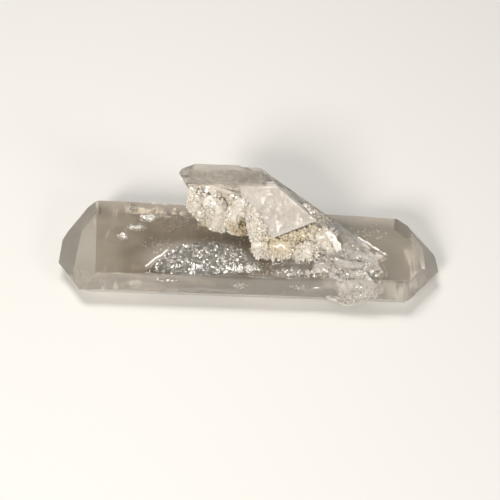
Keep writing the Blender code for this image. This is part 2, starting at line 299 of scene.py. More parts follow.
def long_crystal_faces():
    """The faces of the long crystal, each a normal and a point on it."""
    top_near, top_far = (0, NEAR_EDGE, THICKNESS), (-20, FAR_EDGE, THICKNESS)
    far_right = (23, FAR_EDGE_AT_RIGHT, THICKNESS)
    low_near, low_far, low_far_right = ((x, y, 0) for x, y, z in (top_near, top_far, far_right))
    turn = math.radians(-2.6)
    taper = np.array([[math.cos(turn), -math.sin(turn), 0], [math.sin(turn), math.cos(turn), 0], [0, 0, 1]])
    near_tip, far_tip = (59.5, -4.9, THICKNESS / 2), (48.5, 9.4, THICKNESS)
    near_left, far_left = (-59.6, -7.3, LEFT_TIP_HEIGHT), (-56.5, 9.5, 7.0)
    return [
        (np.array((-0.006, 0, 1)), top_near),
        (facing(270), (0, 0, 0)),
        (facing(30), top_near),
        (facing(330), low_near),
        (facing(150), top_far),
        (facing(210), low_far),
        (taper @ facing(150), far_right),
        (taper @ facing(210), low_far_right),
        (bearing_facing(8, TIP_LEAN), (RIGHT_SHOULDER, -2, THICKNESS)),
        (tip_facing(1, 270), (RIGHT_SHOULDER, 0, 0)),
        (bearing_facing(28, 52), (57.1, 3.2, THICKNESS / 2)),
        (bearing_facing(28, 128), (57.1, 3.2, THICKNESS / 2)),
        (bearing_facing(-41.5, 66.9), near_tip),
        (bearing_facing(-41.5, 113.1), near_tip),
        (tip_facing(1, 150), far_tip),
        (tip_facing(1, 210), (48.5, 9.4, 0)),
        (bearing_facing(188, 22), (LEFT_SHOULDER, 0, THICKNESS)),
        (bearing_facing(221, 43), near_left),
        (bearing_facing(219, 125), near_left),
        (bearing_facing(138.4, 60), (-51.2, 14.9, THICKNESS)),
        (bearing_facing(153.7, 65), far_left),
        (bearing_facing(150, 118), (-56.5, 9.5, 5.5)),
        (tip_facing(-1, 270), (-53.9, 0, 0)),
    ]


def blade_faces(width, shoulder):
    """The second crystal's top face at one width, its leaning back and one large tip face across them."""
    far = SECOND_NEAR - width * facing(SECOND_TURN - 90)
    end = SECOND_NEAR + (shoulder, 0, 0)
    return [
        (facing(SECOND_TURN), SECOND_NEAR),
        (facing(SECOND_TURN + 2 * PRISM_TURN), far),
        (tip_facing(1, SECOND_TIP_TURN, SECOND_TIP_LEAN), end),
    ]


def broken_side(inwards):
    """The two faces of the block's broken left side, moved a little towards its middle."""
    side = np.array((BLOCK_LEFT + inwards, 8.1, 27.8))
    return [
        (np.array((-0.95, -0.1, -0.167)), side),
        (np.array((-0.85, -0.1, -0.409)), side + (3.0, -10.0, -11.1)),
    ]


def tip_half_faces():
    """The right half of the second crystal, down to the long one."""
    near = SECOND_NEAR - 1.1 * BLOCK_SHELL * facing(SECOND_TURN - PRISM_TURN)
    return blade_faces(SECOND_WIDTH, SECOND_SHOULDER) + [
        (facing(SECOND_TURN - PRISM_TURN), near),
        (facing(270), (0, 0, THICKNESS - EMBED)),
    ] + broken_side(0.6)


def broken_half_faces(width, shoulder):
    """The left half of the second crystal, which overhangs the crust and ends broken."""
    broken = SECOND_NEAR + (SECOND_BROKEN_END, 0, 0)
    return blade_faces(width, shoulder) + [
        (facing(SECOND_TURN - 2 * PRISM_TURN), SECOND_NEAR),
        (np.array((-0.86, -0.42, -0.3)), broken),
        (np.array((-0.75, 0.3, 0.6)), broken + (-1.0, 5, 0)),
        (np.array((-0.6, 0.7, -0.4)), broken + (0, 8, -2)),
    ]


def block_faces(shell):
    """The block in front of the second crystal, with shell taken off its near face."""
    near = SECOND_NEAR - BLOCK_STEP * facing(SECOND_TURN)
    front = near - shell * facing(SECOND_TURN - PRISM_TURN)
    bevel = facing(SECOND_TURN - PRISM_TURN / 2)
    return broken_side(0.0) + [
        (facing(SECOND_TURN), near),
        (bevel, near - 0.35 * bevel),
        (facing(SECOND_TURN - PRISM_TURN), front),
        (facing(SECOND_TURN + 2 * PRISM_TURN), near - BLOCK_DEPTH * facing(SECOND_TURN - PRISM_TURN)),
        (facing(270), (0, 0, THICKNESS - EMBED)),
        (tip_facing(1, BLOCK_TIP_TURN, BLOCK_TIP_LEAN), near + (BLOCK_SHOULDER, 0, 0)),
    ]


def front_block_faces():
    """The upper shell of the block, which ends along a broken rim above its foot."""
    return block_faces(0.0) + [
        (np.array((0.33, -0.1, -0.93)), (8.0, -2.2, 15.6)),
        (np.array((0.8, -0.3, -0.52)), (20.4, 0.2, 19.0)),
    ]


def joined(first, others):
    """The first piece with each of the others united to it, so that light meets no wall between them."""
    for other in others:
        union = first.modifiers.new("grown_together", "BOOLEAN")
        union.operation = "UNION"
        union.solver = "MANIFOLD"
        union.object = other
    mesh = bpy.data.meshes.new_from_object(first.evaluated_get(bpy.context.evaluated_depsgraph_get()))
    first.modifiers.clear()
    first.data = mesh
    for other in others:
        bpy.data.objects.remove(other)
    mesh.shade_smooth()
    mesh.set_sharp_from_angle(angle=math.radians(JOINED_CREASE))
    return first


def long_relief(points):
    """Growth lines on the long crystal, and the shell-shaped hollow by its near edge."""
    scoop = hollow(points, (14.5, -11.6, THICKNESS), (10.5, 3.6, 3.0), 1.0)
    scoop += hollow(points, (4.0, -13.4, THICKNESS), (6.5, 2.0, 2.0), 0.45)
    return grown_relief(points, 0.14, 3) + scoop


def block_relief(points):
    """Faint growth lines and shallow pits on the second crystal's faces."""
    pits = smooth(-0.2 - drift(points, 1.7, 21)) * 0.25
    return grown_relief(points, 0.10, 17) + pits


# The round marks on the block's near face: each a middle and a radius.
ROUND_MARKS = (((5.9, 4.6, 23.5), 1.75), ((4.7, 2.5, 21.2), 1.95))


def marked_relief(points):
    """The frosted block's relief: soft dents, and round marks, each a shallow bowl inside a low rim."""
    dents = 0.20 * smooth(0.5 + 0.8 * drift(points, 3.4, 25)) + 0.10 * smooth(0.5 + drift(points, 1.0, 26))
    for centre, radius in ROUND_MARKS:
        away = np.linalg.norm(points - np.array(centre), axis=-1) / radius
        dents = dents + 0.42 * smooth(3.0 * (1.0 - away)) - 0.16 * np.exp(-((away - 1.08) / 0.1) ** 2)
    return dents


def clear_crystals():
    """The long crystal and the second one as one clear body."""
    body = crystal_piece("clear_crystals", long_crystal_faces(), CLEAR_STEP, 0.7, long_relief, 40)
    plain = [
        ("tip_half", tip_half_faces()),
        ("right_of_step", broken_half_faces(SECOND_WIDTH - 0.1, SECOND_SHOULDER - 0.1)),
        ("left_of_step", broken_half_faces(SECOND_WIDTH_AT_LEFT, SECOND_STEP_AT)),
    ]
    others = [
        crystal_piece(name, faces, CLEAR_STEP, CLEAR_STEP, block_relief, 50 + number)
        for number, (name, faces) in enumerate(plain)
    ]
    return shade_and_edge_marked(joined(body, others))


def frosted_block():
    """The block before the second crystal: its core, and a frosted shell with a broken lower rim."""
    core = crystal_piece("frosted_block", block_faces(BLOCK_SHELL), MASS_STEP, MASS_STEP, block_relief, 56)
    shell = crystal_piece("block_shell", front_block_faces(), SHELL_STEP, SHELL_STEP, marked_relief, 57)
    return shade_and_edge_marked(joined(core, [shell]))


def sharp_edges(mesh, angle):
    """The points of a closed mesh that lie on an edge where two faces turn by more than angle degrees."""
    edges, normals = np.empty(len(mesh.loops), np.int32), np.empty(3 * len(mesh.polygons))
    sizes, ends = np.empty(len(mesh.polygons), np.int32), np.empty(2 * len(mesh.edges), np.int32)
    mesh.loops.foreach_get("edge_index", edges)
    mesh.polygons.foreach_get("normal", normals)
    mesh.polygons.foreach_get("loop_total", sizes)
    mesh.edges.foreach_get("vertices", ends)
    face_of = np.repeat(np.arange(len(sizes)), sizes)[np.argsort(edges, kind="stable")].reshape(-1, 2)
    normals = normals.reshape(-1, 3)
    turn = (normals[face_of[:, 0]] * normals[face_of[:, 1]]).sum(axis=1)
    return np.unique(ends.reshape(-1, 2)[turn < math.cos(math.radians(angle))])


def places_of(piece):
    """The points of a piece in millimetres."""
    places = np.empty(3 * len(piece.data.vertices))
    piece.data.vertices.foreach_get("co", places)
    return places.reshape(-1, 3) / MM


def give(piece, name, values):
    """Stores one value a point as the piece's attribute of that name."""
    attribute = piece.data.attributes.new(name, "FLOAT", "POINT")
    attribute.data.foreach_set("value", np.asarray(values, np.float32))


def shade_and_edge_marked(piece):
    """Gives a clear piece two attributes: painted shade inside it, and 1 along its edges for chips and a
    painted highlight.

    The painted shade lies under the long crystal's top face. It is deeper towards the middle and the left,
    patchy by drift, and gone over the break.
    """
    places = places_of(piece)
    x, y, z = places.T
    middle = smooth((36.0 - np.abs(x + 10.0)) / 24.0) * smooth((9.0 - y) / 9.0 + 0.35)
    patchy = 0.85 + 0.35 * drift(places, 8.0, 90) + 0.25 * drift(places, 3.0, 91)
    over_break = smooth(2.2 - np.hypot((x + 16.0) / 9.5, (y + 7.6) / 4.2))
    on_top = (z > THICKNESS - 0.6) & (z < THICKNESS + 1.0) & (np.abs(x) < 50.0)
    depth = 0.5 + 0.24 * smooth((-12.0 - x) / 14.0) + 0.5 * middle * patchy
    # Painted shade under the top face, deeper towards the middle and the left.
    give(piece, "smoke_and_painted_shade", np.clip(depth * (1.0 - over_break) * on_top, 0.0, 1.0))
    # White along the sharp edges, patchy by drift: chips, and a painted highlight.
    edge_chip_and_highlight = np.zeros(len(places))
    edge_chip_and_highlight[sharp_edges(piece.data, EDGE_CHIP_AND_HIGHLIGHT_TURN)] = 1.0
    give(piece, "edge_chip_and_highlight", edge_chip_and_highlight * smooth(0.65 + 0.6 * drift(places, 3.0, 92)))
    return piece


def lump(centre, radii, seed, rough=0.22):
    """A rough lump: the sphere (cos a sin b, sin a sin b, cos b), its radius swollen and dented by drift."""
    around, down = np.meshgrid(np.linspace(0, 2 * np.pi, 30, endpoint=False), np.linspace(0.0, np.pi, 16))
    ball = np.stack([np.cos(around) * np.sin(down), np.sin(around) * np.sin(down), np.cos(down)], axis=-1)
    centre, ball = np.asarray(centre, float), ball * np.asarray(radii, float)
    swell = 1.0 + rough * drift(centre + ball, 2.3, seed) + 0.5 * rough * drift(centre + ball, 0.9, seed + 1)
    points = centre + ball * swell[..., None]
    return points.reshape(-1, 3), grid_faces(*points.shape[:2]).tolist()


def small_crystals(places, directions, lengths, widths, seed):
    """Six-sided crystals as arrays: a ring of six points at the foot and at the shoulder, and one at the tip.

    The shoulder stands at 0.55 to 0.8 of the length, and the tip leans off the axis by a share of the width.
    """
    random = np.random.default_rng(seed)
    count = len(places)
    axis = unit(directions)
    side = unit(np.cross(axis, unit(random.normal(size=(count, 3)))))
    across = np.cross(axis, side)
    turn = np.arange(6) * np.pi / 3
    ring = np.cos(turn)[:, None] * side[:, None] + np.sin(turn)[:, None] * across[:, None]
    stretch = random.uniform(0.7, 1.15, (count, 6, 1))
    half = 0.5 * np.asarray(widths)[:, None, None]
    length = np.asarray(lengths)[:, None]
    foot = np.asarray(places)[:, None] + half * stretch * ring
    shoulder = foot + (random.uniform(0.55, 0.8, (count, 1)) * length * axis)[:, None] - 0.08 * half * ring
    aside, over = random.uniform(-1, 1, (count, 1)), random.uniform(-1, 1, (count, 1))
    off_axis = 0.22 * half[:, 0] * (side * aside + across * over)
    tip = np.asarray(places) + length * axis + off_axis
    points = np.concatenate([foot, shoulder, tip[:, None]], axis=1)
    here, beside = np.arange(6), (np.arange(6) + 1) % 6
    sides = np.stack([here, beside, beside + 6, here + 6], axis=1)
    tips = np.stack([here + 6, beside + 6, np.full(6, 12)], axis=1)
    start = 13 * np.arange(count)[:, None, None]
    faces = (start + sides).reshape(-1, 4).tolist() + (start + tips).reshape(-1, 3).tolist()
    return points.reshape(-1, 3), faces + (start[:, 0] + here[::-1]).tolist()


def scattered(patch, count, seed):
    """Points spread over a four-cornered patch, at random shares of its two ways."""
    share = np.random.default_rng(seed).uniform(0, 1, (count, 2, 1))
    first, second, third, fourth = np.asarray(patch, float)
    along, down = share[:, 0], share[:, 1]
    return (1 - down) * ((1 - along) * first + along * second) + down * ((1 - along) * fourth + along * third)


def strewn(patch, outward, count, length, width, spread, seed):
    """Small crystals over a patch: they lean off its outward way by spread, and sit a little in its face."""
    random = np.random.default_rng(seed)
    places = scattered(patch, count, seed + 1)
    directions = unit(outward) + spread * random.normal(size=(count, 3))
    widths = random.uniform(*width, count)
    lengths = random.uniform(*length, count)
    places = places - 0.5 * unit(directions) * widths[:, None]
    return small_crystals(places, directions, lengths, widths, seed + 2)


def overgrown(centre, radii, outward, count, length, width, seed):
    """Small crystals over the outward side of a lump, each roughly along the lump's own normal there."""
    random = np.random.default_rng(seed)
    ways = unit(random.normal(size=(4 * count, 3)))
    ways = ways[ways @ unit(outward) > -0.15][:count]
    places = np.asarray(centre, float) + 0.86 * ways * np.asarray(radii, float)
    directions = unit(ways / np.asarray(radii, float)) + 0.45 * random.normal(size=ways.shape)
    lengths, widths = random.uniform(*length, len(ways)), random.uniform(*width, len(ways))
    return small_crystals(places, directions, lengths, widths, seed + 1)


def grown_lumps(lumps, outward, count, length, width, seed, crystal_seed):
    """Rough lumps, and the small crystals that grow over each."""
    parts = [lump(centre, radii, seed + 3 * number) for number, (centre, radii) in enumerate(lumps)]
    return parts + [
        overgrown(centre, radii, outward, count, length, width, crystal_seed + 5 * number)
        for number, (centre, radii) in enumerate(lumps)
    ]


def gathered(parts):
    """Several sets of points and faces as one."""
    starts = np.cumsum([0] + [len(points) for points, _ in parts])
    faces = [
        [corner + int(start) for corner in face]
        for (_, part), start in zip(parts, starts)
        for face in part
    ]
    return np.concatenate([points for points, _ in parts]), faces


# Where iron has stained the small crystals: each place, its reach in millimetres and its strength.
STAINS = (
    ((-4.0, 3.4, 15.0), 3.4, 1.0),
    ((-2.4, 1.4, 12.8), 2.0, 1.0),
    ((-15.6, 4.4, 12.8), 2.2, 0.9),
    ((9.0, -3.4, 14.6), 4.4, 0.75),
    ((14.4, -1.6, 15.4), 3.6, 0.65),
    ((19.6, 1.0, 17.0), 3.0, 0.5),
    ((-9.0, 8.0, 22.0), 2.6, 0.3),
)


def stained(piece):
    """Gives a piece the attribute stain: 1 at the middle of a stained place, fading to 0 past its reach."""
    places = places_of(piece)
    stain = np.zeros(len(places))
    for centre, reach, strength in STAINS:
        away = np.linalg.norm(places - np.array(centre), axis=1) / reach
        stain = np.maximum(stain, strength * smooth(1.5 - away + 0.35 * drift(places, 1.4, 80)))
    give(piece, "stain", stain)
    return piece


# The crust: two patches that crystals are strewn over, by their corners, and lumps by middle and radii.
CRUST_UPPER = [(-18.4, 7.6, 25.0), (-3.0, 6.6, 23.0), (-3.4, 5.0, 17.6), (-16.9, 5.0, 17.6)]
CRUST_LOWER = [(-15.8, 5.6, 17.0), (-2.6, 4.8, 19.0), (-2.6, 3.2, 11.6), (-11.6, 4.6, 13.0)]
CRUST_LUMPS = (
    ((-16.6, 6.2, 21.6), (3.0, 4.0, 5.2)),
    ((-15.0, 6.4, 17.6), (2.6, 3.4, 3.4)),
    ((-11.4, 5.0, 20.4), (3.8, 3.4, 4.4)),
    ((-9.6, 4.4, 14.8), (4.2, 3.2, 4.0)),
    ((-5.4, 4.2, 16.8), (3.4, 3.2, 4.6)),
    ((-2.8, 4.4, 20.4), (2.6, 2.8, 3.6)),
    ((-3.2, 3.6, 12.8), (2.4, 2.2, 2.2)),
)


def crust_faces():
    """The mass that the crust grows on, under the overhanging half of the second crystal."""
    return [
        (facing(CRUST_TURN), CRUST_TOP),
        (facing(SECOND_TURN), SECOND_NEAR - 0.9 * facing(SECOND_TURN)),
        (facing(SECOND_TURN + 2 * PRISM_TURN), (0, 15.4, 25)),
        (np.array((-0.985, -0.03, -0.165)), (-19.4, 8.1, 27.8)),
        (np.array((0.25, -0.35, 0.9)), (-9.5, 7.8, 26.0)),
        (np.array((1, 0, 0)), (3.0, 0, 0)),
        (np.array((-0.5, -0.8, -0.45)), (-12.6, 4.6, 13.6)),
        (facing(270), (0, 0, 8.4)),
    ]


def crust_relief(points):
    """The crust's rough face: dents of three sizes."""
    return 0.5 + 0.5 * drift(points, 2.6, 60) + 0.35 * drift(points, 1.1, 61) + 0.2 * drift(points, 0.5, 62)


def crust():
    """The crust of small crystals: lumps grown over all round, and crystals strewn between them."""
    outward = facing(CRUST_TURN)
    parts = grown_lumps(CRUST_LUMPS, outward, 130, (0.7, 1.5), (0.5, 1.5), 70, 90)
    parts += [
        strewn(CRUST_UPPER, outward, 90, (1.4, 2.6), (1.4, 3.0), 0.35, 140),
        strewn(CRUST_LOWER, outward, 80, (1.4, 2.8), (1.4, 3.0), 0.35, 150),
        strewn(CRUST_UPPER, outward, 420, (0.6, 1.4), (0.35, 0.9), 0.6, 160),
        strewn(CRUST_LOWER, outward, 420, (0.6, 1.4), (0.35, 0.9), 0.6, 170),
    ]
    return stained(mesh_piece("crust_crystals", *gathered(parts), weld=0.002))


def stub_crystal():
    """The broken crystal that lies askew in the crust, a little taller than the rest."""
    points, faces = small_crystals([(-8.4, 4.6, 19.2)], [(-0.5, -0.66, -0.56)], [7.0], [4.6], 183)
    return stained(mesh_piece("stub_crystal", points, faces))


# The patches round the block's foot that crystals are strewn over, by their corners, and the lumps there.
BLOCK_SIDE = [(-2.6, 5.2, 23.8), (-2.4, 6.6, 24.4), (1.6, -1.6, 11.2), (1.6, -4.2, 12.4)]
BLOCK_EDGE = [(-2.6, 4.9, 23.8), (1.6, 3.2, 21.9), (6.4, -3.2, 15.2), (1.2, -4.6, 13.0)]
UNDER_RIM = [(3.6, -3.6, 14.0), (19.6, 0.6, 18.2), (19.8, -2.2, 14.4), (4.4, -5.4, 12.2)]
FRINGE = [(1.4, -4.4, 13.4), (17.0, -3.8, 13.6), (16.4, -6.2, 10.9), (2.6, -6.8, 10.9)]
SHOULDER_PATCH = [(19.6, -0.6, 18.4), (25.4, -0.4, 16.4), (26.4, -5.4, 11.4), (17.6, -5.6, 12.6)]
TIP_LINE = [(16.0, 6.2, 21.9), (24.6, 5.4, 15.4), (26.2, 1.0, 13.4), (18.4, 2.6, 20.0)]
FOOT_LUMPS = (
    ((10.2, -4.0, 12.4), (5.2, 2.6, 3.0)),
    ((18.0, -4.8, 12.2), (3.0, 2.8, 2.8)),
    ((23.0, -1.0, 14.0), (3.4, 3.4, 4.0)),
)
LEFT_FOOT = ((4.0, -4.2, 12.2), (2.8, 2.2, 2.4))


def foot_crystals():
    """The spiky fringe below the block, and the crystals over its right shoulder and along its tip line."""
    left, near = (-0.9, -0.4, -0.1), (-0.1, -0.85, -0.35)
    shoulder, along_tip = (0.3, -0.7, 0.5), (0.6, 0.1, 0.75)
    face = facing(SECOND_TURN - PRISM_TURN)
    parts = grown_lumps(FOOT_LUMPS, (0.1, -0.9, 0.3), 110, (0.8, 2.0), (0.4, 1.1), 200, 220)
    parts += [
        lump(*LEFT_FOOT, 236, 0.4),
        overgrown(*LEFT_FOOT, near, 150, (0.8, 1.9), (0.4, 1.0), 238),
        strewn(BLOCK_SIDE, left, 40, (0.8, 1.6), (0.8, 1.8), 0.3, 306),
        strewn(BLOCK_SIDE, left, 260, (0.4, 1.0), (0.3, 0.9), 0.6, 307),
        strewn(BLOCK_EDGE, face, 60, (0.9, 1.7), (0.8, 2.2), 0.3, 300),
        strewn(BLOCK_EDGE, face, 420, (0.4, 1.1), (0.3, 0.9), 0.6, 304),
        strewn(UNDER_RIM, face, 50, (1.0, 2.2), (0.9, 2.2), 0.4, 308),
        strewn(UNDER_RIM, face, 420, (0.5, 1.3), (0.3, 0.9), 0.7, 312),
        strewn(FRINGE, near, 90, (1.8, 3.2), (0.7, 1.5), 0.3, 240),
        strewn(FRINGE, near, 260, (0.8, 1.8), (0.3, 0.8), 0.6, 250),
        strewn(SHOULDER_PATCH, shoulder, 40, (1.4, 2.8), (0.9, 2.0), 0.5, 260),
        strewn(SHOULDER_PATCH, shoulder, 320, (0.6, 1.5), (0.3, 0.8), 0.8, 270),
        strewn(TIP_LINE, along_tip, 40, (0.9, 2.0), (0.7, 1.5), 0.5, 280),
        strewn(TIP_LINE, along_tip, 360, (0.5, 1.1), (0.3, 0.7), 0.8, 290),
    ]
    return stained(mesh_piece("foot_crystals", *gathered(parts), weld=0.002))


# The patch behind the second crystal that crystals are strewn over, by its corners, and the lumps there.
BACK_PATCH = [(-14.5, 9.2, 15.4), (19.5, 9.0, 15.0), (20.5, 10.2, 11.2), (-15.5, 10.4, 11.2)]
BACK_LUMPS = (((-9.0, 8.4, 13.2), (4.6, 3.0, 3.6)), ((9.5, 8.0, 13.4), (5.4, 3.2, 3.8)))


def back_root_faces():
    """The foot that carries the second crystal at the back."""
    return [
        (facing(196), (0, 10.5, 10.4)),
        (facing(120), (0, 8, 16.9)),
        (np.array((-0.9, 0.3, 0.2)), (-16.1, 8, 10.4)),
        (np.array((0.75, 0.3, 0.6)), (21.9, 7, 10.4)),
        (facing(0), (0, 5.1, 0)),
        (facing(270), (0, 0, 8.5)),
    ]


def back_crystals():
    """The crystals over the foot at the back."""
    outward = (0, 0.8, 0.35)
    parts = grown_lumps(BACK_LUMPS, outward, 110, (0.8, 1.9), (0.5, 1.2), 300, 310)
    parts += [
        strewn(BACK_PATCH, outward, 50, (1.6, 3.0), (1.0, 2.2), 0.4, 330),
        strewn(BACK_PATCH, outward, 420, (0.6, 1.6), (0.35, 0.9), 0.7, 340),
    ]
    return stained(mesh_piece("back_crystals", *gathered(parts), weld=0.002))


# The chipped patch in plan, its y measured along the surface: over the near edge it runs on down the side.
CHIPPED_RIM = ((16.5, -6.0), (20.0, 2.5), (25.5, 9.0), (34.4, 2.6), (42.0, -4.6), (41.0, -14.5),
               (39.6, -21.0), (28.0, -21.0), (22.4, -12.6))


def over_the_edge(run):
    """Where a path lies that crosses the top face, turns over the near edge and runs down to the lower face.

    run is the length along it, as a y on the top face that keeps falling past the edge. Returns y, z and the
    turn of the outward way in radians.
    """
    knots = [-23.5, -20.1, NEAR_EDGE, 12.0]
    y = np.interp(run, knots, [-15.4, -17.1, NEAR_EDGE, 12.0])
    z = np.interp(run, knots, [2.3, 5.2, THICKNESS, THICKNESS])
    turn = np.interp(run, [-22.0, -20.0, -17.0, -14.0, -10.5], [-25.0, 20.0, 32.0, 55.0, 90.0])
    return y, z, np.radians(turn)


def facets(plan, count, tilt, seed):
    """Broken facets, about -1 to 1: each point takes the tilted plane of the nearest of count places."""
    random = np.random.default_rng(seed)
    places = plan.reshape(-1, 2)
    middles = random.uniform(places.min(axis=0), places.max(axis=0), (count, 2))
    levels, slopes = random.uniform(-1, 1, count), random.normal(scale=tilt, size=(count, 2))
    away = ((plan[..., None, :] - middles) ** 2).sum(axis=-1)
    nearest = away.argmin(axis=-1)
    return levels[nearest] + ((plan - middles[nearest]) * slopes[nearest]).sum(axis=-1)


def chipped_patch():
    """The crushed patch right of the block: broken facets on a surface that follows the crystal's own.

    Height = inside * (rise * steps + 0.26 * fine) - 0.35 * (1 - inside), where inside fades to 0 at the
    patch's ragged rim, rise swells towards the block, steps is 0.62 + 0.42 * broad held between 0.08 and 1.4,
    and broad and fine are broken facets of two sizes.
    """
    x, run = np.arange(12.5, 43.5, PATCH_STEP), np.arange(-23.4, 11.0, PATCH_STEP)
    x, run = np.meshgrid(x, run, indexing="ij")
    y, z, turn = over_the_edge(run)
    rim = np.array(CHIPPED_RIM)
    ways = np.roll(rim, -1, axis=0) - rim
    inward = unit(np.stack([ways[:, 1], -ways[:, 0]], axis=1))
    plan = np.stack([x, run], axis=-1)
    level = np.stack([x, run, 0 * x], axis=-1)
    ragged = plan + 1.3 * wander(level, 3.4, 400)[..., :2] + 0.7 * wander(level, 1.2, 404)[..., :2]
    depth = np.min(((ragged[..., None, :] - rim) * inward).sum(axis=-1), axis=-1)
    inside = smooth(depth / 2.6)
    rise = 0.8 + 2.9 * np.exp(-((x - 21.0) ** 2 / 70.0 + (run - 1.0) ** 2 / 46.0))
    broad = facets(plan, 70, 0.2, 410)
    fine = facets(plan, 900, 0.45, 411)
    steps = np.clip(0.62 + 0.42 * broad, 0.08, 1.4)
    height = inside * (rise * steps + 0.26 * fine) - 0.35 * (1 - inside)
    points = np.stack([x, y - height * np.cos(turn), z + height * np.sin(turn)], axis=-1)
    faces = sheet_faces(*x.shape)
    shown = (inside.reshape(-1) > 0.0)[faces].any(axis=1)
    return mesh_piece("chipped_patch", points.reshape(-1, 3), faces[shown].tolist(), crease=22)


# The rubble: patches by their corners, the outward way, a count, and the range of lengths and of widths.
RUBBLE = (
    ([(16, -6, 12.0), (27, 1, 13.0), (38, -6, 10.6), (30, -13, 10.4)],
     (0.1, -0.3, 0.95), 420, (0.5, 1.5), (0.4, 1.4)),
    ([(29, -13, 10.6), (40, -13, 10.2), (39, -17, 6.0), (28, -17.2, 5.6)],
     (0, -0.7, 0.6), 420, (0.5, 1.4), (0.4, 1.3)),
    ([(24.0, -16.8, 5.4), (38, -16.8, 6.0), (36, -16.0, 3.0), (25, -16.4, 3.6)],
     (0, -0.9, 0.0), 260, (0.4, 1.1), (0.4, 1.2)),
    ([(25.2, -17.0, 4.4), (36.4, -17.0, 4.4), (33.4, -17.5, 3.0), (29.6, -17.5, 2.9)],
     (0, -0.6, -0.5), 110, (0.4, 1.0), (0.3, 0.7)),
    ([(33.6, 2.6, 10.6), (42.2, -3.8, 10.6), (42.1, -4.1, 10.6), (33.4, 2.2, 10.6)],
     (0.1, -0.3, 0.9), 90, (0.2, 0.5), (0.3, 0.7)),
    ([(14, -9.5, 10.6), (27, -12, 10.6), (26, -13.8, 10.5), (10, -13.9, 10.5)],
     (0.1, -0.3, 0.9), 60, (0.1, 0.3), (0.3, 0.9)),
    ([(24, 9.5, 10.4), (35, 2.2, 10.5), (33, 0.5, 11.2), (23.5, 5, 12.0)],
     (0.3, 0.3, 0.9), 240, (0.4, 1.3), (0.3, 1.2)),
)


def rubble():
    """Splinters and small crystals that stand in the chipped patch, along its rim and beside its hollow."""
    parts = [
        strewn(patch, outward, count, length, width, 0.75, 430 + 7 * number)
        for number, (patch, outward, count, length, width) in enumerate(RUBBLE)
    ]
    return mesh_piece("rubble", *gathered(parts))


def ledge(corners, thickness, seed):
    """A rough splinter on a grid of shares u and v between four corners, dented by drift and facets.

    Height = thickness * (smooth(rim) - 1) + dents * smooth(rim), where rim is the distance to the nearest
    side of the grid.
    """
    u, v = np.meshgrid(np.linspace(0, 1, 34), np.linspace(0, 1, 20), indexing="ij")
    first, second, third, fourth = np.asarray(corners, float)
    u, v = u[..., None], v[..., None]
    flat = (1 - v) * ((1 - u) * first + u * second) + v * ((1 - u) * fourth + u * third)
    rim = np.minimum(np.minimum(u, 1 - u) * 3.0, np.minimum(v, 1 - v) * 1.6)[..., 0] * 5.0
    points = flat + 0.45 * wander(flat, 1.6, seed) * (1, 1, 0.3)
    dents = 0.22 * drift(flat, 1.1, seed + 5) + 0.14 * facets(flat[..., :2], 40, 0.5, seed + 6)
    points[..., 2] += thickness * (smooth(rim) - 1.0) + dents * smooth(rim)
    faces = sheet_faces(*rim.shape)
    up = np.cross(second - first, fourth - first)[2] > 0
    return points.reshape(-1, 3), (faces if up else faces[:, ::-1]).tolist()


# The splinters of the chipped patch, and the white ones: each four corners, a thickness and a seed.
LEDGES = (
    ([(28.6, -2.6, 12.4), (39.4, -4.6, 11.3), (38.0, -7.2, 11.2), (29.4, -5.6, 12.2)], 1.6, 710),
    ([(25.0, -7.0, 12.9), (36.6, -8.4, 11.4), (34.5, -10.6, 11.3), (26.6, -10.0, 12.2)], 1.6, 720),
    ([(27.0, 5.4, 12.6), (34.6, 2.4, 11.2), (37.6, -2.0, 11.4), (29.4, -1.6, 12.7)], 1.3, 730),
    ([(11.4, -4.0, 12.8), (17.2, -4.4, 12.9), (15.6, -8.4, 11.3), (14.2, -8.2, 11.3)], 1.3, 740),
    ([(30.6, -11.2, 11.6), (36.0, -10.4, 11.3), (36.4, -12.8, 11.2), (31.0, -13.4, 11.4)], 1.3, 750),
    ([(24.6, -16.4, 5.0), (36.8, -16.4, 5.0), (33.4, -17.5, 3.4), (30.0, -17.6, 3.2)], 1.4, 770),
)
WHITE_LEDGES = (
    ([(22.2, -1.5, 18.4), (23.8, -1.0, 18.3), (28.5, -4.0, 15.2), (26.8, -5.1, 15.0)], 3.2, 700),
    ([(-31.8, -11.3, 10.5), (-25.2, -4.2, 10.5), (-24.9, -4.6, 10.5), (-31.4, -11.8, 10.5)], 0.3, 780),
    ([(33.2, 3.0, 11.1), (42.4, -3.7, 10.7), (42.3, -4.3, 10.7), (33.0, 2.0, 11.2)], 0.8, 760),
)


def ledges():
    """The see-through splinters in the chipped patch and below its edge, and the clear lump left of it."""
    return mesh_piece("ledges", *gathered([ledge(*row) for row in LEDGES]), crease=18)


def white_plate():
    """The white splinter that stands highest, and the thin white rims of the patch and of the break."""
    return mesh_piece("white_plate", *gathered([ledge(*row) for row in WHITE_LEDGES]), crease=18)


# The break's outline in plan: its far line and its near line, each as x and y.
BREAK_FAR = ([-31.6, -28.7, -24.6, -20.3, -15.6, -6.2, -2.0, -0.6],
             [-13.2, -9.4, -4.6, -1.4, -0.9, -1.5, -3.2, -6.5])
BREAK_NEAR = ([-31.6, -23.6, -14.5, -7.0, -2.5, -0.6], [-13.6, -13.9, -13.8, -13.2, -11.4, -8.2])


